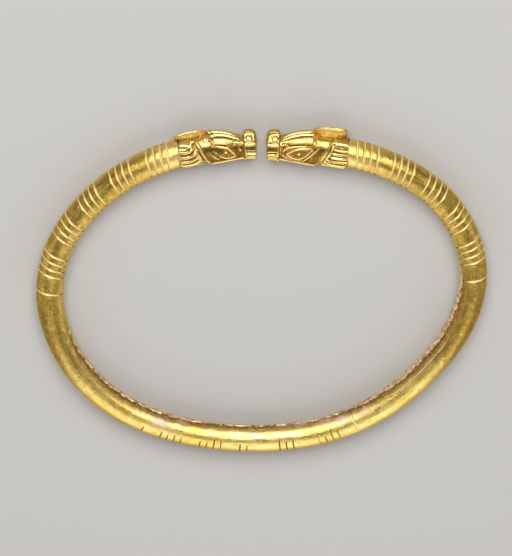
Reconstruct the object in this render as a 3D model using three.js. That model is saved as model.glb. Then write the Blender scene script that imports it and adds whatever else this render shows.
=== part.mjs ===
// Open bracelet of sheet gold: an oval tube hoop that ends in two beast heads, nose to nose.
// Millimetres. The hoop lies flat, +Z is up, and the heads meet at the +Y side.
// The origin is the middle of the outline, on the plane that the bracelet lies on.

import * as THREE from 'three';
import { mergeVertices } from 'three/addons/utils/BufferGeometryUtils.js';

// Hoop, measured along the centre line of its tube
const hoopWidth = 75.2;
const hoopDepth = 56.4;
const tubeDiameter = 4.8;
const armSwell = 0.1;           // added to the in-plane radius beside the heads
const armSwellReach = 30;       // length of arm over which the swelling dies away
const tubeSides = 12;
const longestSpan = 3;          // between two sections of the plain tube

// How the hand-bent hoop leaves a true oval: waves per turn, then two shares of the radius
const bendWaves = [
  [2, 0, 0.027],
  [3, 0.004, 0.015],
  [4, -0.0055, 0.0065],
  [6, 0.003, -0.003],
];
const gapDirection = 89.6;      // degrees, where the noses meet

// Heads
const noseGap = 1.6;
const leftHeadLength = 13.9;
const rightHeadLength = 14.6;
const leftChinDrop = 0;         // added below the chin, the right head is a little deeper
const rightChinDrop = 0.25;
const solderGap = 0.3;          // between a piece and the piece it is soldered to

// Engraved rings: bands of four lines, closed by a single line
const linesPerBand = 4;
const bandsPerArm = 5;
const bandsAtBack = 5;
const leftFirstLine = 1.55;     // from the head to the first line
const rightFirstLine = 1.1;
const lineStep = 1.22;
const leftBandStep = 6.95;
const rightBandStep = 6.62;
const backBandStep = 7.1;
const backShift = -1.6;         // of the bands at the back, towards the left arm
const singleLineStep = 3.36;    // from the last line of a band to the single line
const lineWidth = 0.36;
const lineDepth = 0.15;
const wornLineDepth = 0.1;      // at the back, where the hoop rubbed
const ringLean = 10;            // degrees, the outer side of a ring is nearer the head
const firstBandBulge = 0.1;     // the ribs between the lines next to a head are rounded

// Crests: narrow oval collets on the heads, open on top and empty
const crestLength = 5.5;
const crestWidth = 1.7;
const leftCrestHeight = 0.6;
const rightCrestHeight = 0.95;
const crestWall = 0.3;
const crestRecess = 0.35;
const leftCrestSetback = 0.05;  // from the end of the head to the end of the crest
const rightCrestSetback = 0.5;
const crestRise = 3;            // degrees, its rim climbs away from the nose
const crestSides = 20;

const tubeRadius = tubeDiameter / 2;
const toRadians = THREE.MathUtils.degToRad;
const clamp = THREE.MathUtils.clamp;
const smooth = THREE.MathUtils.smoothstep;

// Straight-line lookup in rows of [where, value, value, ...]
function between(rows, where) {
  const last = rows.length - 1;
  const next = clamp(rows.findIndex((row) => row[0] > where), 1, last);
  const after = where >= rows[last][0] ? last : next;
  const [low, high] = [rows[after - 1], rows[after]];
  const share = clamp((where - low[0]) / (high[0] - low[0]), 0, 1);
  return low.slice(1).map((value, i) => THREE.MathUtils.lerp(value, high[i + 1], share));
}

// A tent that peaks at 1 over its centre, and a plateau of 1 with short sloping edges
const tent = (where, centre, halfWidth) => Math.max(0, 1 - Math.abs(where - centre) / halfWidth);
const plateau = (where, from, to, edge) =>
  clamp(Math.min(where - from, to - where) / edge + 0.5, 0, 1);

// Centre line of the tube, once round from the gap, by way of the left arm
class HoopLine extends THREE.Curve {
  getPoint(t, target = new THREE.Vector3()) {
    const turn = toRadians(gapDirection) + t * 2 * Math.PI;
    let reach = 1;
    for (const [waves, cosShare, sinShare] of bendWaves) {
      reach += cosShare * Math.cos(waves * turn) + sinShare * Math.sin(waves * turn);
    }
    const x = (hoopWidth / 2) * reach * Math.cos(turn);
    const y = (hoopDepth / 2) * reach * Math.sin(turn);
    return target.set(x, y, 0);
  }
}

const hoopLine = new HoopLine();
hoopLine.arcLengthDivisions = 2000;
const roundLength = hoopLine.getLength();

// A point by its distance along the centre line, outward from it, and up
function place(along, outward, up) {
  const t = along / roundLength;
  const centre = hoopLine.getPointAt(t);
  const way = hoopLine.getTangentAt(t);
  return new THREE.Vector3(centre.x + way.y * outward, centre.y - way.x * outward, up);
}

// Closed skin through rings of equally many points, with a fan over each end
function skin(rings) {
  const count = rings[0].length;
  const points = rings.flat();
  const middle = (ring) =>
    ring.reduce((sum, point) => sum.add(point), new THREE.Vector3()).divideScalar(count);
  points.push(middle(rings[0]), middle(rings[rings.length - 1]));
  const [startPole, endPole] = [points.length - 2, points.length - 1];
  const faces = [];
  for (let i = 0; i < count; i++) {
    const j = (i + 1) % count;
    faces.push(startPole, i, j);
    for (let r = 0; r < rings.length - 1; r++) {
      const [near, far] = [r * count, (r + 1) * count];
      faces.push(near + i, far + j, near + j, near + i, far + i, far + j);
    }
    const lastRing = (rings.length - 1) * count;
    faces.push(endPole, lastRing + j, lastRing + i);
  }
  const geometry = new THREE.BufferGeometry().setFromPoints(points);
  geometry.setIndex(faces);
  return geometry;
}

const gold = (hex, roughness) =>
  new THREE.MeshStandardMaterial({ color: hex, roughness, metalness: 1 });

// Hoop
const hoopStart = noseGap / 2 + leftHeadLength + solderGap;
const hoopEnd = roundLength - noseGap / 2 - rightHeadLength - solderGap;

// Lean of the rings as a slope: full on the arms, none at the back
function leanAt(along) {
  const fromHead = Math.min(along, roundLength - along);
  const side = along < roundLength / 2 ? -1 : 1;
  const armShare = 1 - smooth(fromHead, roundLength * 0.27, roundLength * 0.38);
  return side * armShare * Math.tan(toRadians(ringLean));
}

// First lines of all bands of one run, from a start along a direction of +1 or -1
function bandLines(start, bandStep, bands, direction) {
  const lines = [];
  for (let band = 0; band < bands; band++) {
    for (let line = 0; line < linesPerBand; line++) {
      lines.push(start + direction * (band * bandStep + line * lineStep));
    }
  }
  return lines;
}

function engravedLines() {
  const bandWidth = (linesPerBand - 1) * lineStep;
  const left = bandLines(hoopStart + leftFirstLine, leftBandStep, bandsPerArm, 1);
  const right = bandLines(hoopEnd - rightFirstLine, rightBandStep, bandsPerArm, -1);
  const backReach = (bandsAtBack - 1) * backBandStep + bandWidth;
  const backStart = (roundLength - backReach) / 2 + backShift;
  const back = bandLines(backStart, backBandStep, bandsAtBack, 1);
  left.push(left[left.length - 1] + singleLineStep);
  right.push(right[right.length - 1] - singleLineStep);
  back.push(backStart - singleLineStep, backStart + backReach + singleLineStep);
  const cut = (depth) => (along) => ({ along, depth });
  return [...left.map(cut(lineDepth)), ...right.map(cut(lineDepth)), ...back.map(cut(wornLineDepth))]
    .sort((a, b) => a.along - b.along);
}

// Rounded ribs between the lines of the band next to each head
function firstRibs() {
  const ribs = [];
  for (let rib = 0.5; rib < linesPerBand - 1; rib++) {
    ribs.push(hoopStart + leftFirstLine + rib * lineStep);
    ribs.push(hoopEnd - rightFirstLine - rib * lineStep);
  }
  return ribs.map((along) => ({ along, rise: firstBandBulge }));
}

// Sections of the tube: where each is, and how far it stands in or out
function hoopSections() {
  const sections = [{ along: hoopStart, rise: 0 }, { along: hoopEnd, rise: 0 }, ...firstRibs()];
  for (const { along, depth } of engravedLines()) {
    sections.push({ along: along - lineWidth / 2, rise: 0 });
    sections.push({ along, rise: -depth });
    sections.push({ along: along + lineWidth / 2, rise: 0 });
  }
  sections.sort((a, b) => a.along - b.along);
  const filled = [sections[0]];
  for (const section of sections.slice(1)) {
    const from = filled[filled.length - 1].along;
    const steps = Math.ceil((section.along - from) / longestSpan);
    for (let step = 1; step < steps; step++) {
      filled.push({ along: from + ((section.along - from) * step) / steps, rise: 0 });
    }
    filled.push(section);
  }
  return filled;
}

function hoopRing({ along, rise }) {
  const fromHead = Math.min(along - hoopStart, hoopEnd - along);
  const swell = armSwell * (1 - smooth(fromHead, 0, armSwellReach));
  const corner = (tubeRadius + rise) / Math.cos(Math.PI / tubeSides);
  const ring = [];
  for (let side = 0; side < tubeSides; side++) {
    const angle = ((side + 0.5) / tubeSides) * 2 * Math.PI;
    const outward = (corner + swell) * Math.cos(angle);
    const up = clamp(corner * Math.sin(angle), -tubeRadius, tubeRadius);
    ring.push(place(along + leanAt(along) * outward, outward, up));
  }
  return ring;
}

const hoop = new THREE.Mesh(skin(hoopSections().map(hoopRing)), gold(0xd6b04a, 0.28));
hoop.name = 'hoop';

// Heads. Lengths are shares of the head from the nose, other sizes are in tube radii.
// Each row: share, reach of the crown, of the throat and of the cheeks, and slope of the section
const neck = 1 + armSwell / tubeRadius;
const headForm = [
  [0.0, 0.95, 0.92, 0.82, 0],
  [0.02, 1.07, 1.06, 0.9, 0],
  [0.14, 1.08, 1.07, 0.92, 0],
  [0.155, 1.05, 1.05, 0.9, 0],
  [0.17, 0.78, 0.95, 0.77, 0],
  [0.2, 0.79, 0.97, 0.79, 0],
  [0.38, 1.0, 1.08, 0.92, 0.1],
  [0.52, 1.14, 1.15, 0.96, 0.25],
  [0.53, 1.12, 1.15, 0.96, 0.25],
  [0.545, neck, 1.16, 0.94, 0.26],
  [0.69, neck, 1.2, 0.96, 0.42],
  [0.7, neck, 1.18, 0.96, 0.42],
  [0.715, neck, neck, 0.87, 0.4],
  [0.74, neck, neck, 0.86, 0.36],
  [0.8, neck, neck, 0.86, 0.2],
  [0.9, neck, neck, 0.88, 0],
  [1.0, neck, neck, 0.94, -0.17],
];
const headShares = [
  0, 0.02, 0.045, 0.09, 0.14, 0.155, 0.17, 0.2, 0.26, 0.32, 0.38, 0.44, 0.49, 0.52, 0.53, 0.545,
  0.6, 0.65, 0.69, 0.7, 0.715, 0.74, 0.755, 0.79, 0.84, 0.89, 0.94, 0.965, 0.98, 1,
];
// Degrees up from the middle of the cheek, over crown and throat; the other cheek mirrors it
const cheekAngles = [
  90, 80, 70, 58, 45, 31, 20, 11, 2, -6, -14, -22, -30, -38, -47, -57, -70, -90,
];
const forelockRidges = [90, 70, 45];
const forelockRise = 0.13;
const jawRimRise = 0.05;
const nostrilRise = 0.13;
const lipSlitDepth = 0.12;
const eyeCentre = [0.39, -2];
const eyeHalfSize = [0.15, 17];
const eyeRise = 0.09;
const earRibs = [20, 2, -14, -30, -47];
const earRibRise = 0.1;
const earRise = 0.07;

const tallest = (values) => Math.max(0, ...values);

// Height of the carving over the plain form, in tube radii
function carving(share, angle) {
  const forelock = plateau(share, 0.19, 0.535, 0.02);
  const face = plateau(share, 0.19, 0.705, 0.02);
  const muzzle = plateau(share, 0.01, 0.163, 0.02);
  const ear = plateau(share, 0.747, 0.972, 0.02);
  const ridges = tallest(forelockRidges.map((ridge) => tent(angle, ridge, 10)));
  const jawRim = tent(angle, -68, 12);
  const eyeOff = Math.hypot(
    (share - eyeCentre[0]) / eyeHalfSize[0],
    (angle - eyeCentre[1]) / eyeHalfSize[1],
  );
  const eye = tent(eyeOff, 1, 0.35) - 0.9 * plateau(eyeOff, -1, 0.75, 0.2) + 1.8 * tent(eyeOff, 0, 0.3);
  const nostril = tent(Math.hypot((share - 0.09) / 0.05, (angle - 46) / 14), 0, 1);
  const slits = tent(angle, -6, 8) + tent(angle, -34, 6) + tent(angle, 70, 8);
  const ribs = tallest(earRibs.map((rib) => tent(angle, rib, 8)));
  const lobe = plateau(angle, 26, 66, 8);
  const earFoot = plateau(angle, -86, -52, 10);
  return (
    forelock * forelockRise * ridges +
    face * (jawRimRise * jawRim + eyeRise * eye) +
    muzzle * (nostrilRise * nostril - lipSlitDepth * slits) +
    ear * (earRise * plateau(angle, -75, 66, 8) + earRibRise * tallest([ribs, lobe]) + earFoot * 0.12)
  );
}

// One ring of a head; the nose is at the start of the centre line, or at its end if side is -1
function headRing(share, { length, chinDrop, side }) {
  const [crown, throat, cheek, slope] = between(headForm, share);
  const nose = noseGap / 2;
  const upper = cheekAngles.map((angle) => [angle, 1]);
  const lower = cheekAngles.slice(1, -1).reverse().map((angle) => [angle, -1]);
  const ring = [...upper, ...lower].map(([angle, face]) => {
    const turn = toRadians(angle);
    const drop = (chinDrop * plateau(share, 0, 0.96, 0.05)) / tubeRadius;
    const reach = (angle > 0 ? crown : throat + drop) + carving(share, angle);
    const width = cheek + carving(share, angle);
    const outward = tubeRadius * reach * Math.sin(turn);
    const up = face * Math.min(tubeRadius * width * Math.cos(turn), tubeRadius);
    const along = nose + share * length + slope * outward;
    return place(side > 0 ? along : roundLength - along, outward, up);
  });
  return side > 0 ? ring : ring.reverse();
}

function makeHead(name, beast) {
  const rings = headShares.map((share) => headRing(share, beast));
  const head = new THREE.Mesh(skin(rings), gold(0xdcb552, 0.3));
  head.name = name;
  return head;
}

// Crests
function crestGeometry(height) {
  const floor = height - crestRecess;
  const wallShare = (2 * crestWall) / crestWidth;
  const profile = [
    [0, 0], [0.94, 0], [1, 0.15], [0.97, height],
    [0.97 - wallShare, height], [0.93 - wallShare, floor], [0, floor],
  ];
  const oval = new THREE.LatheGeometry(profile.map(([x, y]) => new THREE.Vector2(x, y)), crestSides);
  oval.deleteAttribute('normal');
  oval.deleteAttribute('uv');
  return mergeVertices(oval, 1e-4);
}

function makeCrest(name, { length, side, crestHeight, crestSetback }) {
  const seat = tubeRadius + armSwell + solderGap;
  const centre = noseGap / 2 + length - crestSetback - crestLength / 2;
  const climb = Math.tan(toRadians(crestRise));
  const geometry = crestGeometry(crestHeight);
  const spots = geometry.attributes.position;
  for (let i = 0; i < spots.count; i++) {
    const fromCentre = (spots.getX(i) * crestLength) / 2;
    const lift = (spots.getY(i) / crestHeight) * climb * fromCentre;
    const along = centre + fromCentre;
    const up = (-side * spots.getZ(i) * crestWidth) / 2;
    const spot = place(side > 0 ? along : roundLength - along, seat + spots.getY(i) + lift, up);
    spots.setXYZ(i, spot.x, spot.y, spot.z);
  }
  const crest = new THREE.Mesh(geometry, gold(0xdca84a, 0.32));
  crest.name = name;
  return crest;
}

const leftBeast = {
  side: 1,
  length: leftHeadLength,
  chinDrop: leftChinDrop,
  crestHeight: leftCrestHeight,
  crestSetback: leftCrestSetback,
};
const rightBeast = {
  side: -1,
  length: rightHeadLength,
  chinDrop: rightChinDrop,
  crestHeight: rightCrestHeight,
  crestSetback: rightCrestSetback,
};

const bracelet = new THREE.Group();
bracelet.add(
  hoop,
  makeHead('head_left', leftBeast),
  makeHead('head_right', rightBeast),
  makeCrest('crest_left', leftBeast),
  makeCrest('crest_right', rightBeast),
);

const outline = new THREE.Box3().setFromObject(bracelet);
const middle = outline.getCenter(new THREE.Vector3());
bracelet.position.set(-middle.x, -middle.y, -outline.min.z);

export default bracelet;
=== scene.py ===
# Open bracelet of sheet gold with two beast heads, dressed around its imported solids.
import math

import bmesh
import bpy
import numpy as np
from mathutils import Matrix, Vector, noise


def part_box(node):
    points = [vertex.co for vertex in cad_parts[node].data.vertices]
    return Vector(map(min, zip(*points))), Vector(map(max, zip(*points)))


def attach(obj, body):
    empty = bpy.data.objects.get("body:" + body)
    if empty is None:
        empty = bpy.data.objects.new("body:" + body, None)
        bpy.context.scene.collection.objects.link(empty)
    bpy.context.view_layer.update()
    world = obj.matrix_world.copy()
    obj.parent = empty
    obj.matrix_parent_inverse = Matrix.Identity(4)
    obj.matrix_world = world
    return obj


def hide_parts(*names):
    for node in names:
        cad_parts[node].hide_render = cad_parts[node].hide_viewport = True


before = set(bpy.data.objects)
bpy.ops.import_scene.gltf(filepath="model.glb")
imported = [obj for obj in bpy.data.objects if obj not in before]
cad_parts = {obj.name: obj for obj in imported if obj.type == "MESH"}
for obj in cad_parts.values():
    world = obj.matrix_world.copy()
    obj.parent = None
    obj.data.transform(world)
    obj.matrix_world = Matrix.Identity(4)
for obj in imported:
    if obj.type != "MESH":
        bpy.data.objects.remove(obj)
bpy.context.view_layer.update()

mm = 0.001              # sizes below are in millimetres, the scene is in metres


# The line that the tube follows

hoopPlan = {
    "width": 75.2,              # of the tube's centre line
    "depth": 56.4,
    "bendWaves": [(2, 0, 0.027), (3, 0.004, 0.015), (4, -0.0055, 0.0065), (6, 0.003, -0.003)],
    "gapDirection": 89.6,       # degrees, where the noses meet
    "tubeRadius": 2.4,
    "armSwell": 0.1,            # the tube is wider in the plane of the hoop beside the heads
    "armSwellReach": 30,
    "noseGap": 1.6,
    "traceSteps": 12000,
}


def smoothStep(where, low, high):
    share = np.clip((where - low) / (high - low), 0, 1)
    return share * share * (3 - 2 * share)


def plateau(where, low, high, edge):      # 1 between low and high, with soft edges
    return smoothStep(where, low - edge / 2, low + edge / 2) * (
        1 - smoothStep(where, high - edge / 2, high + edge / 2)
    )


def bell(where, middle, width):
    return np.exp(-(((where - middle) / width) ** 2))


class CentreLine:
    # Runs once round from the gap, by way of the left arm. Points are given by their
    # distance along the line, outward from it, and up.
    def __init__(self, plan):
        turn = math.radians(plan["gapDirection"]) + np.linspace(0, 2 * np.pi, plan["traceSteps"])
        reach = 1 + sum(
            cosShare * np.cos(waves * turn) + sinShare * np.sin(waves * turn)
            for waves, cosShare, sinShare in plan["bendWaves"]
        )
        self.x = plan["width"] / 2 * reach * np.cos(turn)
        self.y = plan["depth"] / 2 * reach * np.sin(turn)
        steps = np.hypot(np.diff(self.x), np.diff(self.y))
        self.along = np.concatenate([[0], np.cumsum(steps)])
        self.length = self.along[-1]
        wayX = np.gradient(self.x, self.along)
        wayY = np.gradient(self.y, self.along)
        size = np.hypot(wayX, wayY)
        self.wayX = wayX / size
        self.wayY = wayY / size
        low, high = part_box("hoop")
        radius = plan["tubeRadius"]
        self.shift = np.array([
            (low.x + high.x) / 2 / mm - (self.x.min() + self.x.max()) / 2,
            low.y / mm + radius - self.y.min(),
            low.z / mm + radius,
        ])

    def place(self, along, outward, up):
        at = [np.interp(along, self.along, row) for row in (self.x, self.y, self.wayX, self.wayY)]
        spots = np.stack([at[0] + at[3] * outward, at[1] - at[2] * outward, up], axis=-1)
        return (spots + self.shift) * mm


line = CentreLine(hoopPlan)
tubeRadius = hoopPlan["tubeRadius"]
mmPerDegree = tubeRadius * math.pi / 180       # round the tube
print("centre line", round(line.length, 1), "mm long")


# Mesh helpers

weldDistance = 0.002            # for the poles and the seam of a wrapped grid


def wrinkle(spots, scale, seed, octaves=2):          # smooth noise about zero, at points in mm
    start = Vector((seed * 13.7, seed * 7.1, seed * 3.3))
    return np.array([
        noise.fractal(Vector(spot) * (scale / mm) + start, 1.0, 2.0, octaves) for spot in spots
    ])


def blurred(field, rounds):                # field is rows along the piece by columns round it
    for _ in range(rounds):
        field = (np.roll(field, 1, 1) + 2 * field + np.roll(field, -1, 1)) / 4
        above = np.concatenate([field[:1], field[:-1]])
        below = np.concatenate([field[1:], field[-1:]])
        field = (above + 2 * field + below) / 4
    return field


def inScene(name, data):
    made = bpy.data.objects.new(name, data)
    bpy.context.scene.collection.objects.link(made)
    return made


def writeField(mesh, name, values):        # one number per vertex, for the material
    attribute = mesh.attributes.new(name, "FLOAT", "POINT")
    attribute.data.foreach_set("value", values.astype(np.float32))


def wrappedSheet(name, rows, columns, shape):
    # A grid that is wrapped into a closed skin. shape gives each vertex its place, from the
    # grid's row and column, and the fields that the material reads.
    bm = bmesh.new()
    bmesh.ops.create_grid(bm, x_segments=rows - 1, y_segments=columns, size=0.5)
    grid = np.array([vert.co[:2] for vert in bm.verts]) + 0.5
    row = np.rint(grid[:, 0] * (rows - 1)).astype(int)
    column = np.rint(grid[:, 1] * columns).astype(int)
    spots, fields, uv = shape(row, column)
    for vert, spot in zip(bm.verts, spots):
        vert.co = spot
    mesh = bpy.data.meshes.new(name)
    bm.to_mesh(mesh)
    bm.free()
    for fieldName, values in fields.items():
        writeField(mesh, fieldName, values)
    corners = np.empty(len(mesh.loops), dtype=np.int32)
    mesh.loops.foreach_get("vertex_index", corners)
    layer = mesh.uv_layers.new(name="surface")
    layer.data.foreach_set("uv", uv[corners].astype(np.float32).ravel())
    bm = bmesh.new()
    bm.from_mesh(mesh)
    bmesh.ops.remove_doubles(bm, verts=bm.verts, dist=weldDistance * mm)
    bmesh.ops.recalc_face_normals(bm, faces=bm.faces)
    bm.to_mesh(mesh)
    bm.free()
    mesh.shade_smooth()
    return inScene(name, mesh)


def closingRows(count):        # shares of the radius from the pole of a flat end to its rim
    return np.linspace(0, 1, count + 1)[:-1]


# Hoop: the tube with its engraved rings and the seam on its inner face

hoopLook = {
    "underHead": 0.35,          # of the tube hidden under the end of a head
    "linesPerBand": 4,
    "bands": 5,
    "leftFirstLine": 1.55,      # from the end of the head
    "rightFirstLine": 1.1,
    "lineStep": 1.22,
    "leftBandStep": 6.95,
    "rightBandStep": 6.62,
    "backBandStep": 7.1,
    "backShift": -1.6,
    "singleLineStep": 3.36,
    "lineWidth": 0.28,
    "lineDepth": 0.12,
    "wornLineDepth": 0.08,
    "wornLineEnd": 150,         # degrees round the tube, past it a line is worn away
    "wornLines": [              # from the left: strength, and degrees at which the line sets in
        (0.8, 12),
        (1, 2), (0.9, 6), (0.9, 2), (0.9, 0),
        (0.9, 8), (0.8, 2), (1, 2), (0.8, 0),
        (1, 10), (0.9, 12), (0.1, 30), (0.25, 30),
        (1, -12), (1, 0), (0.9, -12), (0.4, 4),
        (0.6, -14), (1, 0), (0.9, -16), (0.8, -8),
    ],
    "lineReach": 2.5,           # line widths to each side that a line changes
    "groove": (0.62, 0.8),      # half width in line widths, and how round its floor is
    "lip": (0.95, 0.4),         # beside the groove: middle and width in line widths
    "lipRise": 0.2,             # share of the depth
    "halo": (1.2, 0.28),        # orange darkening beside a line: middle and width in line widths
    "haloStrength": 0.6,
    "brightWidth": 0.6,         # of the painted highlight along a line, in line widths
    "shadedLines": (38, 62),     # degrees inward over which a line's painted highlight gives way to painted shade in its groove
    "lineWear": 0.3,
    "lineStrength": (0.65, 1.2),
    "rubWander": 12,            # degrees
    "rubEdge": 16,
    "lineWander": 0.1,
    "wanderMargin": 1,
    "ringLean": 10,             # degrees
    "leanFades": (0.27, 0.38),  # share of the centre line
    "ribRise": 0.1,
    "ribHalf": 0.6,
    "stationsPerLine": (-1.5, -0.9, -0.6, -0.35, -0.15, 0, 0.15, 0.35, 0.6, 0.9, 1.5),
    "plainStep": 0.6,
    "leastStep": 0.01,
    "endRows": 3,
    "angleStep": 5.5,           # degrees
    "leastAngle": 2,            # between the last two columns
    "seamMiddle": -76,
    "seamReach": 32,            # degrees to each side that have the finer columns
    "seamAngleStep": 1.5,
    "seamPath": (               # along the tube, degrees round it
        (60, 75, 88, 98, 112, 121, 130, 138, 150, 160),
        (-68, -70, -74, -87, -90, -78, -64, -58, -56, -58),
    ),
    "seamFrom": 58,
    "seamTo": 160,
    "seamEdge": 12,
    "seamDrift": 4,             # degrees
    "seamDepth": 0.12,
    "seamWidth": 2.2,           # degrees
    "curl": 0.07,               # the raised lip beside the seam
    "curlBand": (-38, -4, 7),   # degrees from the seam, with its soft edge
    "curlSetsIn": (63, 69),
    "curlRagged": 1.2,
    "curlStrength": (0.3, 1.6),
    "unevenness": (0.035, 0.35),          # height, and the share by which it is lowered
    "facets": (0.02, 0.3),
    "noises": {                 # waves per mm, seed
        "wear": (0.35, 1),
        "unevenness": (0.09, 2),
        "facets": (0.42, 6),
        "drift": (0.12, 3),
        "ragged": (0.8, 9),
        "wander": (0.13, 4),
    },
    "reliefLimit": 0.1,
    "margin": 0.01,             # to the outer outline of the solid
    "shadeAlong": (5, 53, 12),  # mm from the heads, with its soft edge
    "shadeRound": (-40, 74, 24),
    "tarnishHeight": 0.45,      # share of its half length
    "tarnish": [                # pinkish spots: along the tube, degrees round it, half length, strength
        (85.8, -25, 1.7, 1.0),
        (89.3, -62, 1.0, 0.6),
        (108.6, -84, 1.2, 0.6),
        (112, -82, 1.5, 0.8),
        (116.7, -62, 1.5, 0.8),
        (119.9, -46, 1.5, 1.0),
        (122.3, -36, 0.7, 0.6),
        (124.5, -40, 1.0, 1.0),
        (192.3, 84, 0.9, 0.7),
    ],
}
leftHead = {"length": 13.9, "chinDrop": 0.0, "side": 1}
rightHead = {"length": 14.6, "chinDrop": 0.25, "side": -1}
solderGap = 0.3
hoopStart = hoopPlan["noseGap"] / 2 + leftHead["length"] + solderGap
hoopEnd = line.length - hoopPlan["noseGap"] / 2 - rightHead["length"] - solderGap


def engravedRings(look):       # where each ring is, how deep, and the ribs of the first bands
    bandLines = np.arange(look["linesPerBand"]) * look["lineStep"]
    starts = np.arange(look["bands"])[:, None]
    left = hoopStart + look["leftFirstLine"] + (starts * look["leftBandStep"] + bandLines).ravel()
    right = hoopEnd - look["rightFirstLine"] - (starts * look["rightBandStep"] + bandLines).ravel()
    backReach = (look["bands"] - 1) * look["backBandStep"] + bandLines[-1]
    backStart = (line.length - backReach) / 2 + look["backShift"]
    back = backStart + (starts * look["backBandStep"] + bandLines).ravel()
    step = look["singleLineStep"]
    arms = np.concatenate([left, [left[-1] + step], right, [right[-1] - step, back[-1] + step]])
    back = np.concatenate([[back[0] - step], back])
    rings = [(along, look["lineDepth"], None) for along in arms]
    rings += [(along, look["wornLineDepth"] * share, setsIn)
              for along, (share, setsIn) in zip(back, look["wornLines"])]
    ribs = [where + look["lineStep"] / 2 for where in left[:3]]
    ribs += [where - look["lineStep"] / 2 for where in right[:3]]
    return sorted(rings, key=lambda ring: ring[0]), ribs


def ringLean(along, look):
    fromHead = np.minimum(along, line.length - along)
    armShare = 1 - smoothStep(fromHead / line.length, *look["leanFades"])
    away = np.where(along < line.length / 2, -1, 1)
    return away * armShare * math.tan(math.radians(look["ringLean"]))


def buildHoop(look):
    rings, ribs = engravedRings(look)
    start = hoopStart - solderGap - look["underHead"]
    end = hoopEnd + solderGap + look["underHead"]
    shoulders = np.array(look["stationsPerLine"]) * look["lineWidth"]
    plain = np.arange(start, end, look["plainStep"])
    carved = np.concatenate([ring[0] + shoulders for ring in rings])
    nearest = np.abs(plain[:, None] - carved[None, :]).min(axis=1)
    stations = np.sort(np.concatenate([[start, end], plain[nearest > look["plainStep"] / 3], carved]))
    stations = stations[np.concatenate([[True], np.diff(stations) > look["leastStep"]])]
    middle, reach = look["seamMiddle"], look["seamReach"]
    fine = np.arange(middle - reach, middle + reach, look["seamAngleStep"])
    last = middle - reach + 360
    coarse = np.arange(middle + reach, last - look["leastAngle"], look["angleStep"])
    angles = np.append(np.concatenate([fine, coarse]), last)
    count = look["endRows"]
    closing = closingRows(count)
    alongs = np.concatenate([np.full(count, start), stations, np.full(count, end)])
    shares = np.concatenate([closing, np.ones(len(stations)), closing[::-1]])

    def shape(row, column):
        along, share, angle = alongs[row], shares[row], angles[column]
        turn = np.radians(angle)
        fromHead = np.minimum(along - hoopStart, hoopEnd - along)
        swell = hoopPlan["armSwell"] * (1 - smoothStep(fromHead, 0, hoopPlan["armSwellReach"]))
        plainSpots = line.place(along, tubeRadius * np.sin(turn), tubeRadius * np.cos(turn))
        noises = look["noises"]
        wear = wrinkle(plainSpots, *noises["wear"])
        relief = np.zeros(len(along))
        for kind in ("unevenness", "facets"):
            height, lowered = look[kind]
            relief += height * (wrinkle(plainSpots, *noises[kind]) - lowered)
        hollow = np.zeros(len(along))
        lineGlint = np.zeros(len(along))
        for where, depth, setsIn in rings:
            worn = setsIn is not None
            near = np.abs(along - where) < look["lineWidth"] * look["lineReach"]
            off = np.abs(along[near] - where) / look["lineWidth"]
            strength = np.clip(1 + look["lineWear"] * wear[near], *look["lineStrength"])
            if worn:
                wandering = angle[near] + look["rubWander"] * wear[near]
                rubbed = plateau(wandering, setsIn, look["wornLineEnd"], look["rubEdge"])
                strength = strength * rubbed * depth / look["wornLineDepth"]
            half, roundness = look["groove"]
            groove = np.clip(1 - off / half, 0, 1) ** roundness
            full = look["wornLineDepth"] if worn else depth
            relief[near] += full * strength * (look["lipRise"] * bell(off, *look["lip"]) - groove)
            # lines in the bright inner band, and the worn ones, get painted shade in their grooves
            # instead of a highlight
            lineShaded = 1 if worn else smoothStep(-angle[near], *look["shadedLines"])
            halo = look["haloStrength"] * bell(off, *look["halo"])
            hollow[near] = np.maximum(hollow[near], strength * (groove * lineShaded + halo * (1 - lineShaded)))
            # painted highlight along a line, where its groove is not painted as shade
            bright = bell(off, 0, look["brightWidth"])
            lineGlint[near] = np.maximum(lineGlint[near], bright * strength * (1 - lineShaded))
        for where in ribs:
            relief += look["ribRise"] * np.clip(1 - ((along - where) / look["ribHalf"]) ** 2, 0, 1)
        seamShare = plateau(along, look["seamFrom"], look["seamTo"], look["seamEdge"])
        drift = wrinkle(np.stack([along, along * 0, along * 0], -1) * mm, *noises["drift"])
        seamOff = angle - np.interp(along, *look["seamPath"]) - look["seamDrift"] * drift
        relief -= seamShare * look["seamDepth"] * bell(seamOff, 0, look["seamWidth"])
        ragged = 1 + look["curlRagged"] * wrinkle(plainSpots, *noises["ragged"])
        curl = seamShare * smoothStep(along, *look["curlSetsIn"]) * np.clip(ragged, *look["curlStrength"])
        relief += look["curl"] * plateau(seamOff, *look["curlBand"]) * curl
        tarnish = np.zeros(len(along))
        for where, middle, size, strength in look["tarnish"]:
            height = (angle - middle) * mmPerDegree / (look["tarnishHeight"] * size)
            off = np.hypot((along - where) / size, height)
            tarnish = np.maximum(tarnish, strength * bell(off, 0, 1))
        radius = (tubeRadius + np.minimum(relief, look["reliefLimit"])) * share
        outward = np.minimum((radius + swell * share) * np.sin(turn), tubeRadius + swell - look["margin"])
        up = np.clip(radius * np.cos(turn), -tubeRadius, tubeRadius)
        margin = look["wanderMargin"]
        wander = look["lineWander"] * plateau(along, start + margin, end - margin, 2 * margin)
        wander = wander * wrinkle(plainSpots, *noises["wander"])
        spots = line.place(along + ringLean(along, look) * outward + wander, outward, up)
        uv = np.stack([along / line.length, seamOff / 360], -1)
        shade = plateau(fromHead, *look["shadeAlong"]) * plateau(angle, *look["shadeRound"])
        fields = {"hollow": np.clip(hollow, 0, 1), "lineGlint": np.clip(lineGlint, 0, 1), "shade": shade}
        fields.update({"seam": seamShare, "tarnish": tarnish})
        return spots, fields, uv

    hoop = wrappedSheet("hoop_tube", len(alongs), len(angles) - 1, shape)
    print("hoop", len(hoop.data.polygons), "faces")
    return hoop


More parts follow.
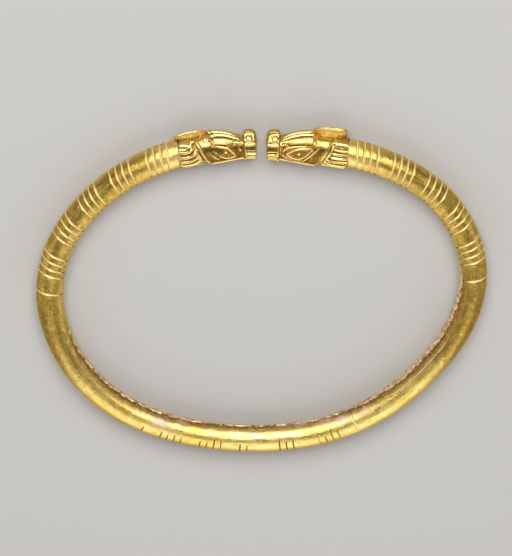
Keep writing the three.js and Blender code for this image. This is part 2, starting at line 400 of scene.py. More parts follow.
# Heads. A stroke is a line of points, each in mm from the nose and in degrees up from the
# middle of the cheek, with half its width and its height, which is below zero for a groove.

headForm = [
    (0.0, 0.95, 0.92, 0.82, 0),       # share of the length, crown, throat, cheek, slope
    (0.02, 1.07, 1.06, 0.9, 0),
    (0.14, 1.08, 1.07, 0.92, 0),
    (0.155, 1.05, 1.05, 0.9, 0),
    (0.17, 0.68, 0.95, 0.77, 0),
    (0.2, 0.66, 0.97, 0.79, 0),
    (0.38, 1.0, 1.08, 0.92, 0.1),
    (0.52, 1.17, 1.15, 0.96, 0.25),
    (0.53, 1.15, 1.15, 0.96, 0.25),
    (0.545, 1.04, 1.16, 0.94, 0.26),
    (0.69, 1.04, 1.2, 0.96, 0.42),
    (0.7, 1.04, 1.18, 0.96, 0.42),
    (0.715, 1.04, 1.04, 0.87, 0.4),
    (0.74, 1.04, 1.04, 0.86, 0.36),
    (0.8, 1.04, 1.04, 0.86, 0.2),
    (0.9, 1.04, 1.04, 0.88, 0),
    (1.0, 1.04, 1.04, 0.94, -0.17),
]

headLook = {
    "rows": 300,
    "columns": 256,
    "endRows": 9,
    "formSamples": 1200,
    "formBlur": 20,
    "ridgeRound": 1.2,
    "beadRound": 0.6,
    "beadMoat": (1.2, 0.3, 0.15),         # middle and half width in bead radii, share of the rise
    "dishEdge": (0.5, 1.1),
    # Along: from, to and soft edge in shares of the length. Round: the same in degrees.
    "carved": (0.008, 0.99, 0.016),
    "chin": (0, 0.96, 0.05),
    "ear": ((0.745, 0.985, 0.02), (-88, 66, 10)),
    "earSwell": 0.1,
    "solderRise": 0.17,
    "solderEdge": (0.4, 1.15),            # in half widths of its stroke
    "solderLumps": (1.6, 60),             # waves per mm, seed
    "lumpPush": 0.7,
    "lumpRise": 0.8,
    "noseSetback": ((-90, -60, -25, 10, 45, 90), (0.2, 0.08, 0, 0.05, 0.25, 0.5)),
    "noseReach": 2.2,
    "unevenness": 0.01,
    "unevenNoise": (0.5, 5),
    "reliefBlur": 18,
    "reliefFull": 0.07,                   # mm off the blurred surface at which a hollow is full dirt and painted shade, and a ridge full wear and painted highlight
    "nostrilClean": (1.1, 1.9),           # in radii of the nostril's bead
    "nostrilWearAndHighlight": (0.5, 0.95),
    "shadePatches": [((0.16, 0.7, 0.06), (-62, 24, 16)), ((0.01, 0.14, 0.03), (-19, 7, 8))],
    "shadeEnd": (0.93, 0.99),
}

leftHead["strokes"] = [
    (0.2, -0.14, [(0.3, 70), (1.2, 73), (2.3, 72)]),             # under the cap of the muzzle
    (0.3, 0.14, [(0.3, 57), (0.9, 62), (1.5, 62), (2.2, 58)]),
    (0.16, -0.12, [(0.3, 27), (1.25, 22), (2.2, 27)]),
    (0.3, 0.17, [(0.2, 17), (1.2, 13), (2.2, 15)]),
    (0.16, 0.08, [(0.3, -14), (1.5, -13, 0.5)]),
    (0.27, -0.3, [(0.1, -20), (1.4, -19), (1.7, -19, 0.2)]),      # mouth
    (0.22, 0.18, [(0.0, -30), (1.3, -29), (1.7, -29, 0.3)]),
    (0.18, -0.24, [(0.2, -41), (1.6, -40)]),
    (0.34, 0.16, [(0.1, -58), (1.7, -57)]),
    (0.34, 0.14, [(2.3, 34, 0.6), (3.1, 32), (4.2, 30, 0.5)]),    # bridge of the nose
    (0.18, 0.08, [(4.2, 25), (4.45, 14), (4.2, 0, 0.3)]),
    (0.16, 0.08, [(2.5, 25), (2.95, 12, 0.4)]),
    (0.2, -0.08, [(3.3, 16), (3.0, 4), (3.3, -8)]),
    (0.36, 0.34, [(7.3, 80), (6.9, 85), (5.6, 86), (4.3, 82, 0.7), (3.2, 74, 0.2)]),      # forelock
    (0.42, 0.3, [(7.0, 57), (6.5, 63), (5.6, 64), (4.5, 62, 0.9), (3.2, 58, 0.4)]),
    (0.14, -0.14, [(7.3, 66), (6.6, 74), (5.5, 75), (4.5, 72), (3.4, 66, 0.4)]),
    (0.14, -0.14, [(6.9, 48), (6.2, 52), (5.2, 51), (4.2, 49), (3.2, 48, 0.3)]),
    (0.34, 0.24, [(6.8, 41), (5.4, 40), (4.2, 37, 0.7)]),
    (0.34, 0.26, [(6.8, 34), (5.5, 33), (4.3, 31, 0.6)]),
    (0.34, 0.24, [(6.7, 27), (5.5, 26), (4.5, 25, 0.5)]),
    (0.17, -0.14, [(7.0, 18), (5.7, 17), (4.5, 12, 0.4)]),
    (0.22, 0.16, [(7.4, 20), (6.5, 14), (5.7, 8), (5.0, 1), (4.5, -12), (4.0, -27, 0.6)]),   # eye
    (0.2, 0.15, [(7.2, -8, 0.4), (6.7, -26), (6.0, -40), (5.3, -45), (4.5, -44), (3.6, -40, 0.3)]),
    (0.18, 0.1, [(7.6, 0, 0.3), (7.1, -14), (6.5, -27), (6.0, -38, 0.4)]),
    (0.2, 0.13, [(8.5, 18, 0.3), (8.4, -6), (8.0, -27), (7.2, -48, 0.5)]),
    (0.38, 0.3, [(9.7, -40), (9.3, -58), (8.5, -66), (7.0, -69), (4.7, -67), (3.3, -65), (2.2, -63)]),
    (0.32, 0.24, [(10.9, 38, 0.6), (10.5, 47), (10.0, 48), (9.6, 40), (9.5, 19), (9.65, -2),
                  (9.75, -24), (9.7, -44)]),
    (0.26, -0.12, [(10.2, 22, 0.4), (10.15, 0), (10.2, -24), (10.2, -50)]),
    (0.44, -0.2, [(10.45, 32), (10.4, 20), (10.5, 6, 0.6)]),     # ear
    (0.6, 0.24, [(13.1, 44), (12.3, 40), (11.4, 32, 0.7)]),
    (0.29, 0.28, [(13.5, 14), (12.6, 9), (11.9, 10), (11.2, 16), (10.8, 22, 0.5)]),
    (0.29, 0.28, [(13.5, -7), (12.5, -11), (11.7, -9), (11.0, -3), (10.6, 4, 0.5)]),
    (0.28, 0.28, [(13.4, -26), (12.5, -32), (11.7, -30), (10.9, -22, 0.6)]),
    (0.28, 0.28, [(13.2, -46), (12.2, -51), (11.5, -49), (10.8, -42, 0.6)]),
    (0.34, 0.24, [(13.5, -30, 0.5), (13.3, -50), (12.8, -68), (12.0, -74), (10.8, -73, 0.7)]),
]
leftHead["beads"] = [
    (0.62, 0.24, (1.25, 39)),            # nostril
    (0.26, 0.14, (0.4, 31)),
    (0.22, 0.1, (2.9, -10)),
    (0.38, 0.22, (5.5, -12)),            # pupil
    (0.28, 0.16, (7.3, 20)),
]
leftHead["solder"] = [                   # half width, points
    (0.34, [(6.9, 22), (7.35, 38), (7.55, 56), (7.9, 86)]),
    (0.75, [(8.1, 52), (8.4, 88)]),
]
leftHead["hollows"] = [                  # shallow dishes: half length, half height in mm, depth, middle
    (1.5, 0.7, 0.1, (5.8, -16)),
    (0.9, 1.3, 0.08, (8.8, -8)),
    (0.7, 0.35, 0.06, (1.1, -3)),
]

rightHead["strokes"] = [
    (0.2, -0.14, [(0.3, 68), (1.2, 70), (2.2, 69)]),
    (0.28, 0.14, [(0.3, 44), (0.6, 50), (1.3, 57), (2.1, 58)]),
    (0.16, -0.12, [(0.5, 20), (1.2, 18), (2.2, 20)]),
    (0.28, 0.15, [(0.3, 12), (1.0, 9), (2.1, 9)]),
    (0.27, -0.3, [(0.1, -26), (1.5, -25), (1.9, -25, 0.3)]),
    (0.22, 0.18, [(0.0, -37), (1.5, -36), (2.0, -36, 0.4)]),
    (0.18, -0.24, [(0.1, -48), (1.9, -48)]),
    (0.34, 0.16, [(0.1, -66), (1.8, -65)]),
    (0.24, 0.12, [(2.5, 56, 0.5), (2.6, 14), (2.5, -30, 0.5)]),
    (0.36, 0.34, [(2.7, 62, 0.2), (3.3, 74, 0.5), (4.3, 83, 0.9), (5.6, 87), (7.2, 86)]),      # forelock
    (0.42, 0.3, [(3.0, 52, 0.4), (4.2, 61, 0.9), (5.4, 65), (6.4, 67), (7.3, 64)]),
    (0.14, -0.14, [(3.0, 60, 0.4), (3.7, 69), (4.8, 74), (5.9, 77), (7.2, 76)]),
    (0.14, -0.14, [(3.1, 44, 0.4), (4.2, 50), (5.4, 54), (6.5, 56), (7.4, 55)]),
    (0.36, 0.25, [(2.7, 35, 0.4), (4.4, 40), (5.9, 44), (7.4, 46)]),
    (0.36, 0.26, [(3.4, 30, 0.4), (4.8, 34), (6.1, 37), (7.5, 39)]),
    (0.36, 0.25, [(4.0, 24, 0.4), (5.0, 28), (6.2, 31), (7.5, 32)]),
    (0.17, -0.12, [(3.6, 14, 0.3), (5.2, 16), (7.6, 20)]),
    (0.18, 0.1, [(2.7, 10), (3.2, 20), (3.7, 8, 0.5)]),
    (0.2, 0.12, [(2.8, -22, 0.4), (3.3, -6), (4.2, 5), (5.4, 12), (6.6, 12, 0.4)]),
    (0.22, 0.17, [(3.8, -21), (4.3, -14), (5.0, -5), (5.8, 1), (6.6, 4), (7.8, 5)]),          # eye
    (0.2, 0.15, [(3.8, -23), (4.3, -34), (5.1, -42), (5.9, -43), (6.8, -33), (7.5, -16), (8.0, 3)]),
    (0.17, 0.1, [(2.5, -30, 0.5), (3.3, -44), (4.6, -52), (6.0, -54), (7.2, -42), (8.0, -24, 0.3)]),
    (0.22, 0.15, [(9.1, 10, 0.3), (8.4, -11), (7.6, -34), (7.0, -58)]),
    (0.38, 0.28, [(2.2, -68), (5.7, -70), (8.25, -71), (10.0, -68), (10.3, -62)]),
    (0.55, 0.1, [(10.2, 46, 0.5), (10.5, 20), (10.7, -12), (10.7, -40), (10.6, -64)]),
    (0.16, -0.14, [(10.0, -40, 0.3), (10.2, -56), (10.3, -78)]),
    (0.3, 0.2, [(11.2, 30), (11.35, 14), (11.3, -6), (11.1, -20, 0.5)]),                       # ear
    (0.2, -0.14, [(11.0, 40, 0.4), (10.95, 10), (10.9, -20), (10.9, -50)]),
    (0.6, 0.24, [(11.9, 42, 0.8), (13.0, 42), (14.3, 44)]),
    (0.24, 0.28, [(11.8, 16), (13.1, 15), (14.3, 18)]),
    (0.24, 0.28, [(11.8, -1), (12.6, -2), (14.2, 2)]),
    (0.24, 0.28, [(11.8, -17), (13.0, -16), (14.3, -12)]),
    (0.26, 0.29, [(11.2, -26, 0.5), (11.9, -33), (12.8, -33), (14.2, -28)]),
    (0.25, 0.28, [(11.3, -47, 0.5), (12.2, -50), (13.0, -50), (14.1, -46)]),
    (0.32, 0.24, [(11.2, -66), (12.3, -69), (14.0, -64)]),
]
rightHead["beads"] = [
    (0.62, 0.24, (1.45, 37)),
    (0.22, 0.1, (3.0, -34)),
    (0.2, 0.1, (3.7, -40)),
    (0.38, 0.22, (5.9, -17)),
    (0.32, 0.2, (11.5, 44)),
]
rightHead["solder"] = [
    (0.34, [(8.1, 28), (7.65, 46), (7.3, 73), (7.5, 92)]),
    (0.55, [(7.9, 56), (7.9, 90)]),
]
rightHead["hollows"] = [
    (1.6, 0.7, 0.1, (5.9, -18)),
    (0.9, 1.2, 0.08, (9.3, -28)),
    (0.8, 0.4, 0.06, (1.2, -8)),
]


def smoothCurve(points, steps=6):      # a Catmull-Rom curve through (mm, degrees, strength)
    knots = np.array([tuple(point) + (1.0,) * (3 - len(point)) for point in points])
    knots[:, 1] *= mmPerDegree
    if len(knots) < 3:
        return knots
    ends = np.concatenate([knots[:1] * 2 - knots[1:2], knots, knots[-1:] * 2 - knots[-2:-1]])
    curve = []
    for before, start, end, after in zip(ends, ends[1:], ends[2:], ends[3:]):
        for share in np.arange(steps) / steps:
            bend = (2 * before - 5 * start + 4 * end - after) * share ** 2
            bend = bend + (3 * start - 3 * end + after - before) * share ** 3
            curve.append(start + ((end - before) * share + bend) / 2)
    return np.array(curve + [knots[-1]])


def strokeField(fromNose, height, halfWidth, points):
    # How far each spot of the unrolled cheek is from a stroke, in half widths, and the
    # stroke's strength there
    farAway = 9.0
    off = np.full(len(fromNose), farAway)
    strength = np.ones(len(fromNose))
    curve = smoothCurve(points)
    low, high = curve.min(axis=0) - halfWidth * 2, curve.max(axis=0) + halfWidth * 2
    beside = (fromNose > low[0]) & (fromNose < high[0])
    near = np.flatnonzero(beside & (height > low[1]) & (height < high[1]))
    x, y = fromNose[near], height[near]
    best = np.full(len(near), np.inf)
    force = np.ones(len(near))
    for start, end in zip(curve, curve[1:] if len(curve) > 1 else curve):
        span = end[:2] - start[:2]
        size = max(float(span @ span), 1e-9)
        share = np.clip(((x - start[0]) * span[0] + (y - start[1]) * span[1]) / size, 0, 1)
        away = np.hypot(x - start[0] - share * span[0], y - start[1] - share * span[1])
        closer = away < best
        best = np.where(closer, away, best)
        force = np.where(closer, start[2] + share * (end[2] - start[2]), force)
    off[near] = best / halfWidth
    strength[near] = force
    return off, strength


def carving(fromNose, height, head, look):
    ridges = np.zeros(len(fromNose))
    grooves = np.zeros(len(fromNose))
    for halfWidth, rise, points in head["strokes"]:
        off, strength = strokeField(fromNose, height, halfWidth, points)
        if rise > 0:
            crest = np.clip(1 - off ** 2, 0, 1) ** look["ridgeRound"]
            ridges = np.maximum(ridges, strength * rise * crest)
        else:
            grooves = np.maximum(grooves, -rise * strength * np.clip(1 - off, 0, 1))
    for radius, rise, point in head["beads"]:
        off, _ = strokeField(fromNose, height, radius, [point])
        ridges = np.maximum(ridges, rise * np.clip(1 - off ** 2, 0, 1) ** look["beadRound"])
        middle, halfWidth, depth = look["beadMoat"]
        moat = np.clip(1 - np.abs(off - middle) / halfWidth, 0, 1)
        grooves = np.maximum(grooves, depth * rise * moat)
    for halfLength, halfHeight, depth, (middle, degrees) in head["hollows"]:
        off = np.hypot((fromNose - middle) / halfLength, (height - degrees * mmPerDegree) / halfHeight)
        ridges = ridges - depth * (1 - smoothStep(off, *look["dishEdge"]))
    return ridges, grooves


def buildHead(name, head, look):
    length, side = head["length"], head["side"]
    form = np.array(headForm)
    count = look["endRows"]
    shares = np.concatenate([np.zeros(count), np.linspace(0, 1, look["rows"]), np.ones(count)])
    closing = np.sin(closingRows(count) * math.pi / 2)
    reachShares = np.concatenate([closing, np.ones(look["rows"]), closing[::-1]])
    angles = np.linspace(-90, 270, look["columns"] + 1)
    if side < 0:
        angles = angles[::-1]
    fine = np.linspace(0, 1, look["formSamples"])
    smoothForm = []
    for part in form.T[1:]:
        profile = np.interp(fine, form[:, 0], part)
        smoothForm.append(blurred(profile[:, None] * np.ones((1, 2)), look["formBlur"])[:, 0])

    def shape(row, column):
        share, reachShare, angle = shares[row], reachShares[row], angles[column]
        cheekAngle = np.where(angle > 90, 180 - angle, angle)
        fromNose = share * length
        crown, throat, cheek, slope = [np.interp(share, fine, part) for part in smoothForm]
        height = cheekAngle * mmPerDegree
        ridges, grooves = carving(fromNose, height, head, look)
        fade = plateau(share, *look["carved"])
        off = np.min([strokeField(fromNose, height, *stroke)[0] for stroke in head["solder"]], axis=0)
        scale, seed = look["solderLumps"]
        lumps = wrinkle(np.stack([fromNose, height, angle * 0], -1) * mm, scale, seed + side)
        solder = 1 - smoothStep(off + look["lumpPush"] * lumps, *look["solderEdge"])
        ridges = np.maximum(ridges, look["solderRise"] * (1 + look["lumpRise"] * lumps) * solder)
        earAlong, earRound = look["ear"]
        ear = plateau(share, *earAlong) * plateau(cheekAngle, *earRound)
        relief = (ridges - grooves) * fade + look["earSwell"] * ear
        turn = np.radians(angle)
        drop = head["chinDrop"] * plateau(share, *look["chin"])
        reach = tubeRadius * np.where(cheekAngle > 0, crown, throat)
        outward = (reach + np.where(cheekAngle > 0, 0, drop) + relief) * np.sin(turn)
        up = (tubeRadius * cheek + relief) * np.cos(turn)
        outward, up = outward * reachShare, np.clip(up * reachShare, -tubeRadius, tubeRadius)
        setback = np.interp(cheekAngle, *look["noseSetback"])
        setback = setback * (1 - smoothStep(fromNose, 0, look["noseReach"]))
        along = hoopPlan["noseGap"] / 2 + fromNose + slope * outward + setback
        spots = line.place(along if side > 0 else line.length - along, outward, up)
        scale, seed = look["unevenNoise"]
        spots += wrinkle(spots, scale, seed + side)[:, None] * look["unevenness"] * mm
        spots[:, 2] = np.clip(spots[:, 2], 0, 2 * tubeRadius * mm)
        field = np.zeros((len(shares), len(angles)))
        field[row, column] = relief
        above = (field - blurred(field, look["reliefBlur"]))[row, column] / look["reliefFull"]
        # below the blurred surface: dirt and painted shade; above it: wear and a painted highlight
        hollow = np.clip(-above, 0, 1)
        worn = np.clip(above, 0, 1)
        radius, _, nostril = head["beads"][0]
        fromNostril = strokeField(fromNose, height, radius, [nostril])[0]
        hollow *= smoothStep(fromNostril, *look["nostrilClean"])
        # painted highlight on the nostril's bead, with wear
        worn = np.maximum(worn, 1 - smoothStep(fromNostril, *look["nostrilWearAndHighlight"]))
        uv = np.stack([share, (angle + 90) / 360], -1)
        shade = smoothStep(share, *look["shadeEnd"])
        for lengthwise, around in look["shadePatches"]:
            shade = np.maximum(shade, plateau(share, *lengthwise) * plateau(cheekAngle, *around))
        return spots, {"hollow": hollow, "worn": worn, "solder": solder, "shade": shade}, uv

    piece = wrappedSheet(name, len(shares), look["columns"], shape)
    print(name, len(piece.data.polygons), "faces")
    return piece


# Crests: open oval collets, soldered on behind the forelock

crestLook = {
    "width": 1.7,
    "wall": 0.24,
    "recess": 0.35,
    "sides": 64,
    "lowerWall": 0.72,        # share of the height that is made first, below the orange rim
    "rimBevel": (0.07, 3),    # width, segments
    "sunk": 0.35,             # of the wall below the seat, in the solder
    "dents": 0.07,
    "dentLimit": 0.03,
    "dentNoise": (1.1, 40),   # waves per mm, seed
    "raggedness": 0.1,
    "raggedLimits": (-0.1, 0.05),
    "raggedNoise": (2.2, 50),
    "solderFrom": (0.75, 1.0),
    "solder": (0.08, 0.72),   # on the wall, and what the rim has besides
}
# Rims: share of the length from the nose end, and height
leftHead["crest"] = {
    "length": 5.4,
    "setback": 0.05,
    "rim": ((0, 0.1, 0.3, 0.65, 0.88, 1), (0.24, 0.42, 0.47, 0.43, 0.39, 0.36)),
}
rightHead["crest"] = {
    "length": 5.5,
    "setback": 1.0,
    "rim": ((0, 0.08, 0.3, 0.7, 0.95, 1), (0.6, 0.72, 0.85, 1.05, 1.15, 1.1)),
}


def buildCrest(name, head, look):
    crest = head["crest"]
    bm = bmesh.new()
    made = bmesh.ops.create_circle(bm, cap_ends=True, segments=look["sides"], radius=1)
    bmesh.ops.scale(bm, verts=made["verts"], vec=(crest["length"] / 2, look["width"] / 2, 1))
    top = bm.faces[:]
    bmesh.ops.translate(bm, verts=bm.verts, vec=(0, 0, -look["sunk"]))
    for step in (look["sunk"] + look["lowerWall"], 1 - look["lowerWall"]):
        lower = top
        wall = bmesh.ops.extrude_face_region(bm, geom=lower)
        top = [part for part in wall["geom"] if isinstance(part, bmesh.types.BMFace)]
        raised = [part for part in wall["geom"] if isinstance(part, bmesh.types.BMVert)]
        bmesh.ops.translate(bm, verts=raised, vec=(0, 0, step))
        bmesh.ops.delete(bm, geom=lower, context="FACES_ONLY")
    bmesh.ops.inset_region(bm, faces=top, thickness=look["wall"])
    sunk = bmesh.ops.extrude_face_region(bm, geom=top)
    bottom = [part for part in sunk["geom"] if isinstance(part, bmesh.types.BMVert)]
    bmesh.ops.delete(bm, geom=top, context="FACES_ONLY")
    bmesh.ops.translate(bm, verts=bottom, vec=(0, 0, -look["recess"]))
    nearTop = 0.99
    rim = [edge for edge in bm.edges if all(vert.co.z > nearTop for vert in edge.verts)
           and len(edge.link_faces) == 2 and edge.calc_face_angle(0) > 1]
    bevel, segments = look["rimBevel"]
    bmesh.ops.bevel(bm, geom=rim, offset=bevel, segments=segments, profile=0.5,
                    affect="EDGES", material=-1)
    side, length = head["side"], head["length"]
    seat = tubeRadius + hoopPlan["armSwell"] + solderGap
    centre = hoopPlan["noseGap"] / 2 + length - crest["setback"] - crest["length"] / 2
    spots = np.array([vert.co[:] for vert in bm.verts])
    heights = np.interp(spots[:, 0] / crest["length"] + 0.5, *crest["rim"])
    scale, seed = look["raggedNoise"]
    ragged = look["raggedness"] * wrinkle(spots * mm, scale, seed + side)
    heights = heights + np.clip(ragged, *look["raggedLimits"])
    lift = smoothStep(spots[:, 2], 0, 1) * (heights - 1)
    scale, seed = look["dentNoise"]
    dents = look["dents"] * wrinkle(spots * mm, scale, seed + side)
    along = centre + spots[:, 0]
    outward = seat + spots[:, 2] + lift + np.minimum(dents, look["dentLimit"])
    placed = line.place(along if side > 0 else line.length - along, outward, spots[:, 1] * (1 + dents))
    for vert, spot in zip(bm.verts, placed):
        vert.co = spot
    bmesh.ops.holes_fill(bm, edges=[edge for edge in bm.edges if edge.is_boundary], sides=0)
    bmesh.ops.recalc_face_normals(bm, faces=bm.faces)
    mesh = bpy.data.meshes.new(name)
    bm.to_mesh(mesh)
    bm.free()
    mesh.shade_smooth()
    wall, rimMore = look["solder"]
    solder = wall + rimMore * smoothStep(spots[:, 2], *look["solderFrom"])
    writeField(mesh, "solder", solder)
    print(name, len(mesh.polygons), "faces")
    return inScene(name, mesh)


# Shading

class Wire:
    # A node's output that can be added, multiplied and so on; node makes any other node
    def __init__(self, tree, socket=None):
        self.tree = tree
        self.socket = socket

    def node(self, kind, settings=None, inputs=None, output=0):
        made = self.tree.nodes.new("ShaderNode" + kind)
        for key, value in (settings or {}).items():
            setattr(made, key, value)
        for key, value in (inputs or {}).items():
            if isinstance(value, Wire):
                self.tree.links.new(value.socket, made.inputs[key])
            else:
                made.inputs[key].default_value = value
        return Wire(self.tree, made.outputs[output])

    def sum(self, operation, first, second):
        return self.node("Math", {"operation": operation}, {0: first, 1: second})

    def __add__(self, other):
        return self.sum("ADD", self, other)

    __radd__ = __add__

    def __mul__(self, other):
        return self.sum("MULTIPLY", self, other)

    __rmul__ = __mul__

    def __truediv__(self, other):
        return self.sum("DIVIDE", self, other)

    def __sub__(self, other):
        return self.sum("SUBTRACT", self, other)

    def __rsub__(self, other):
        return self.sum("SUBTRACT", other, self)

    def between(self, low, high):       # 0 at low, 1 at high, clamped
        return self.node("MapRange", {"interpolation_type": "SMOOTHSTEP"},
                         {"Value": self, "From Min": low, "From Max": high})

    def mixed(self, first, second):     # colours, with this wire as the factor
        return self.node("Mix", {"data_type": "RGBA"}, {0: self, 6: first, 7: second}, output=2)

    def field(self, name):              # of the mesh, one number per vertex
        return self.node("Attribute", {"attribute_name": name}, output=2)

    def cloudy(self, spot, look):       # noise, from its waves, detail and roughness
        waves, detail, roughness = look
        spot = self.node("Mapping", {}, {"Vector": spot, "Scale": waves})
        inputs = {"Vector": spot, "Scale": 1.0, "Detail": detail, "Roughness": roughness}
        return self.node("TexNoise", {}, inputs)


goldLook = {
    "gold": (0.78, 0.56, 0.14, 1),
    "paleGold": (0.88, 0.68, 0.25, 1),
    "deepGold": (0.58, 0.38, 0.06, 1),
    "glintGold": (1.0, 0.84, 0.45, 1),
    "orange": (0.74, 0.33, 0.06, 1),
    # painted shade: darker metal in place of the reflection of a dark room, over the heads and crests
    "shadedGold": (0.16, 0.085, 0.014, 1),
    # painted shade on the arms of the hoop
    "shadedBandGold": (0.36, 0.22, 0.035, 1),
    "rubbedAndHighlitGold": (1.0, 0.76, 0.27, 1),
    "solder": (0.68, 0.32, 0.1, 1),
    # dark in the deepest hollows: dirt, and painted shade
    "darkDirtAndShade": (0.09, 0.05, 0.014, 1),
    "roughness": 0.25,
    "dirtRoughness": 0.35,
    "edgeTint": (1.0, 0.78, 0.4, 1),
    "paintedShadeShare": 0.95,
    "bump": 0.28,
    "bumpReach": 0.4,
    "cloud": ((0.14,) * 3, 4, 0.6),       # waves per mm, detail, roughness
    "mottle": ((1.1,) * 3, 6, 0.7),
    "grain": ((2.6,) * 3, 3, 0.55),
    "streaks": ((80, 46, 1), 5, 0.7),     # waves along and round the whole tube
}
headGold = dict(goldLook, bump=0.2)
crestGold = dict(goldLook, paintedShadeShare=0.15, roughness=0.3, bump=0.45)
seamLook = {
    "stain": (0.3, 0.15, 0.035, 1),
    "brown": (0.1, 0.05, 0.02, 1),
    "pink": (0.92, 0.66, 0.54, 1),
    "lavender": (0.66, 0.47, 0.44, 1),
    "jag": ((190, 30, 1), 5, 0.75),       # ragged edges of the stains
    "jagPush": 60,                        # degrees by which it moves the edges of the stains
    "pits": [(129.7, -14, 0.3), (129.8, -2, 0.22)],      # along the tube, degrees round it, radius
}


def goldFinish(name, look, seed, alongTube=False):
    material = bpy.data.materials.new(name)
    material.use_nodes = True
    tree = material.node_tree
    shader = tree.nodes["Principled BSDF"]
    wire = Wire(tree)
    here = wire.node("TexCoord", output=3)
    shift = (seed, seed * 0.7, 0)
    spot = wire.node("Mapping", {}, {"Vector": here, "Location": shift, "Scale": (1 / mm,) * 3})
    cloud, mottle, grain = [wire.cloudy(spot, look[kind]) for kind in ("cloud", "mottle", "grain")]
    hollow = wire.field("hollow")
    colour = cloud.between(0.35, 0.7).mixed(look["gold"], look["paleGold"])
    colour = (mottle.between(0.48, 0.7) * 0.6).mixed(colour, look["deepGold"])
    rough = look["roughness"] + 0.16 * mottle.between(0.35, 0.75)
    height = mottle * 0.35 + grain * 0.65
    # hollows and grooves: dirt, and painted shade
    dirtAndShade = hollow.between(0.12, 0.8) * (0.5 + 0.8 * mottle)
    shade = wire.field("shade")
    if alongTube:
        surface = wire.node("UVMap", {"uv_map": "surface"})
        # painted shade, mottled, along the arms near the heads
        paintedShading = shade * (2.2 * mottle - 0.3)
        colour = paintedShading.mixed(colour, look["shadedBandGold"])
        streaks = wire.cloudy(surface, look["streaks"])
        colour = (streaks.between(0.5, 0.66) * 0.7).mixed(colour, look["deepGold"])
        height = height * 0.6 + streaks * 0.5
        rough = rough + 0.16 * streaks.between(0.42, 0.62)
        # painted highlight: a bright glint along the engraved lines
        lineGlint = wire.field("lineGlint")
        colour = (lineGlint.between(0.2, 0.8) * 0.8).mixed(colour, look["glintGold"])
        rough = rough + lineGlint * 0.3
    else:
        worn = wire.field("worn")
        solder = wire.field("solder")
        # painted shade over the heads, deepest in the shade patches, and a little over the crests
        paintedShading = look["paintedShadeShare"] * (1.2 * mottle + 0.4) * (0.35 + 0.65 * shade)
        colour = paintedShading.mixed(colour, look["shadedGold"])
        # raised carving paler: wear, and a painted highlight on the ridges
        colour = worn.between(0.1, 0.7).mixed(colour, look["rubbedAndHighlitGold"])
        rough = rough + 0.1 * paintedShading - 0.05 * worn
        height = height * (1 - 0.8 * worn)
        solder = solder * mottle.between(0.3, 0.55)
        colour = (solder * 0.9).mixed(colour, look["solder"])
        rough = rough + 0.2 * solder
    # dirt and painted shade in the hollows: orange, then dark in the deepest
    colour = dirtAndShade.between(0.08, 0.45).mixed(colour, look["orange"])
    colour = (dirtAndShade.between(0.4, 0.9) * 0.9).mixed(colour, look["darkDirtAndShade"])
    rough = rough + dirtAndShade * look["dirtRoughness"]
    metal = 1 - dirtAndShade.between(0.5, 1.0) * 0.5
    if alongTube:
        colour, metal, rough, height = seamStains(wire, surface, mottle, (colour, metal, rough, height))
    tree.links.new(colour.socket, shader.inputs["Base Color"])
    tree.links.new(rough.socket, shader.inputs["Roughness"])
    tree.links.new(metal.socket, shader.inputs["Metallic"])
    shader.inputs["Specular Tint"].default_value = look["edgeTint"]
    bump = wire.node("Bump", {}, {"Height": height, "Strength": look["bump"],
                              "Distance": look["bumpReach"] * mm})
    tree.links.new(bump.socket, shader.inputs["Normal"])
    return material


def seamStains(wire, surface, mottle, finish):
    # Brown dirt and a pinkish lip along the seam on the inner face, pinkish tarnish, and pits
    colour, metal, rough, height = finish
    seam = wire.field("seam")
    tarnish = wire.field("tarnish")
    fromSeam = wire.node("SeparateXYZ", {}, {"Vector": surface}, output=1) * 360      # degrees
    along = wire.node("SeparateXYZ", {}, {"Vector": surface}, output=0) * line.length      # mm
    jag = wire.cloudy(surface, seamLook["jag"])
    place = fromSeam + seamLook["jagPush"] * (jag - 0.5)
    stain = seam * place.between(-5, -2) * (1 - place.between(22, 40)) * mottle.between(0.32, 0.5)
    dark = seam * place.between(-4, -1) * (1 - place.between(12, 26)) * jag.between(0.41, 0.51)
    lip = seam * along.between(*hoopLook["curlSetsIn"])
    lip = lip * place.between(-44, -34) * (1 - place.between(-8, -3))
    lip = lip * jag.between(0.36, 0.48)
    blush = tarnish * jag.between(0.3, 0.55)
    colour = (stain * 0.8).mixed(colour, seamLook["stain"])
    colour = (dark * 0.9).mixed(colour, seamLook["brown"])
    colour = (lip * 0.9).mixed(colour, seamLook["pink"])
    specks = lip * mottle.between(0.49, 0.58)
    colour = (specks * 0.75).mixed(colour, seamLook["stain"])
    colour = (blush * 0.95).mixed(colour, seamLook["lavender"])
    metal = metal * (1 - 0.7 * dark) * (1 - 0.3 * stain) * (1 - 0.35 * lip) * (1 - 0.5 * blush)
    rough = rough + 0.15 * stain + 0.2 * dark + 0.12 * lip + 0.2 * blush
    # a fold beside the seam, raised and painted with a bright highlight along its crease
    fold = along.between(126, 131) * (1 - along.between(143, 148))
    fold = fold * fromSeam.between(27.5, 30) * (1 - fromSeam.between(31, 33)) * jag.between(0.35, 0.5)
    colour = (fold * 0.8).mixed(colour, goldLook["glintGold"])
    height = height + 0.4 * lip - 0.5 * specks - 0.6 * dark + fold
    here = wire.node("TexCoord", output=3)
    for where, angle, radius in seamLook["pits"]:
        turn = math.radians(angle)
        centre = line.place(where, tubeRadius * math.sin(turn), tubeRadius * math.cos(turn))
        away = wire.node("VectorMath", {"operation": "DISTANCE"}, {0: here, 1: tuple(centre)}, output=1)
        pit = 1 - (away / (radius * mm) + 1.4 * (mottle - 0.5)).between(0.2, 1)
        colour = (pit * 0.9).mixed(colour, seamLook["stain"])
        height = height - 0.3 * pit
    return colour, metal, rough, height


# Pieces

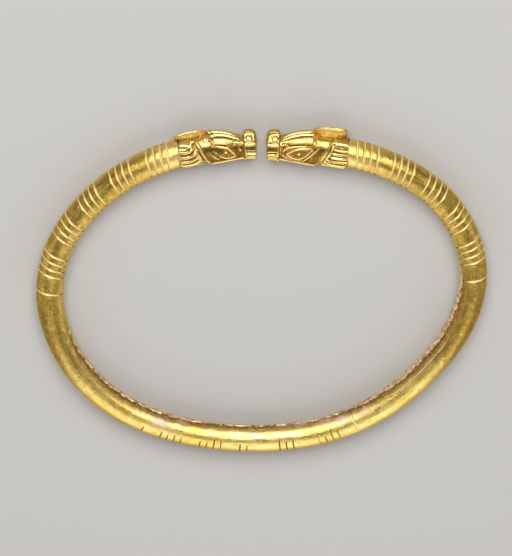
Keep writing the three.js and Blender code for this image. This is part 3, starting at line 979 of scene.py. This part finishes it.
hoop = buildHoop(hoopLook)
headLeft = buildHead("beast_head_left", leftHead, headLook)
headRight = buildHead("beast_head_right", rightHead, headLook)
crestLeft = buildCrest("crest_collet_left", leftHead, crestLook)
crestRight = buildCrest("crest_collet_right", rightHead, crestLook)

dressed = [
    (hoop, "hoop", "hoop_gold", goldFinish("hoop gold", goldLook, 3, alongTube=True)),
    (headLeft, "head_left", "head_gold", goldFinish("left head gold", headGold, 11)),
    (headRight, "head_right", "head_gold", goldFinish("right head gold", headGold, 23)),
    (crestLeft, "crest_left", "crest_gold", goldFinish("left crest gold", crestGold, 31)),
    (crestRight, "crest_right", "crest_gold", goldFinish("right crest gold", crestGold, 43)),
]
for piece, node, slotName, material in dressed:
    piece.data.materials.append(material)
    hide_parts(node)
    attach(piece, "root")


# Floor, light and camera

studio = {
    "floorSize": 3.0,           # metres, as all of these
    "floorColour": (0.46, 0.45, 0.435, 1),
    "floorRoughness": 0.9,
    "world": (1, 1, 1, 1),
    "worldStrength": 0.13,
    "lights": [                 # place, width, height, power
        ("far softbox", (0.0, 0.354, 0.421), 0.42, 0.34, 3.2),
        ("left softbox", (-0.47, 0.0, 0.17), 0.34, 0.34, 0.45),
        ("right softbox", (0.47, 0.0, 0.17), 0.34, 0.34, 0.45),
        ("near softbox", (0.0, -0.47, 0.29), 0.95, 0.74, 3.3),
    ],
    "cameraPlace": (-0.000943, 0.21387, 0.5673),
    "cameraTilt": -20.5,        # degrees
    "lens": 220.14,             # millimetres
    "clipStart": 0.01,
}


def buildStudio(look):
    bm = bmesh.new()
    bmesh.ops.create_grid(bm, x_segments=1, y_segments=1, size=look["floorSize"] / 2)
    mesh = bpy.data.meshes.new("floor")
    bm.to_mesh(mesh)
    bm.free()
    floor = inScene("floor", mesh)
    material = bpy.data.materials.new("floor")
    material.use_nodes = True
    shader = material.node_tree.nodes["Principled BSDF"]
    shader.inputs["Base Color"].default_value = look["floorColour"]
    shader.inputs["Roughness"].default_value = look["floorRoughness"]
    mesh.materials.append(material)
    world = bpy.data.worlds.new("studio")
    world.use_nodes = True
    world.node_tree.nodes["Background"].inputs["Color"].default_value = look["world"]
    world.node_tree.nodes["Background"].inputs["Strength"].default_value = look["worldStrength"]
    bpy.context.scene.world = world
    for name, place, width, height, power in look["lights"]:
        lamp = bpy.data.lights.new(name, "AREA")
        lamp.shape = "RECTANGLE"
        lamp.size = width
        lamp.size_y = height
        lamp.energy = power
        holder = inScene(name, lamp)
        holder.location = place
        holder.rotation_euler = (-Vector(place)).to_track_quat("-Z", "Y").to_euler()
    lens = bpy.data.cameras.new("camera")
    lens.lens = look["lens"]
    lens.clip_start = look["clipStart"]
    camera = inScene("camera", lens)
    camera.location = look["cameraPlace"]
    camera.rotation_euler = (math.radians(look["cameraTilt"]), 0, 0)
    bpy.context.scene.camera = camera
    bpy.context.scene.view_settings.view_transform = "Standard"
    print("studio ready")


buildStudio(studio)
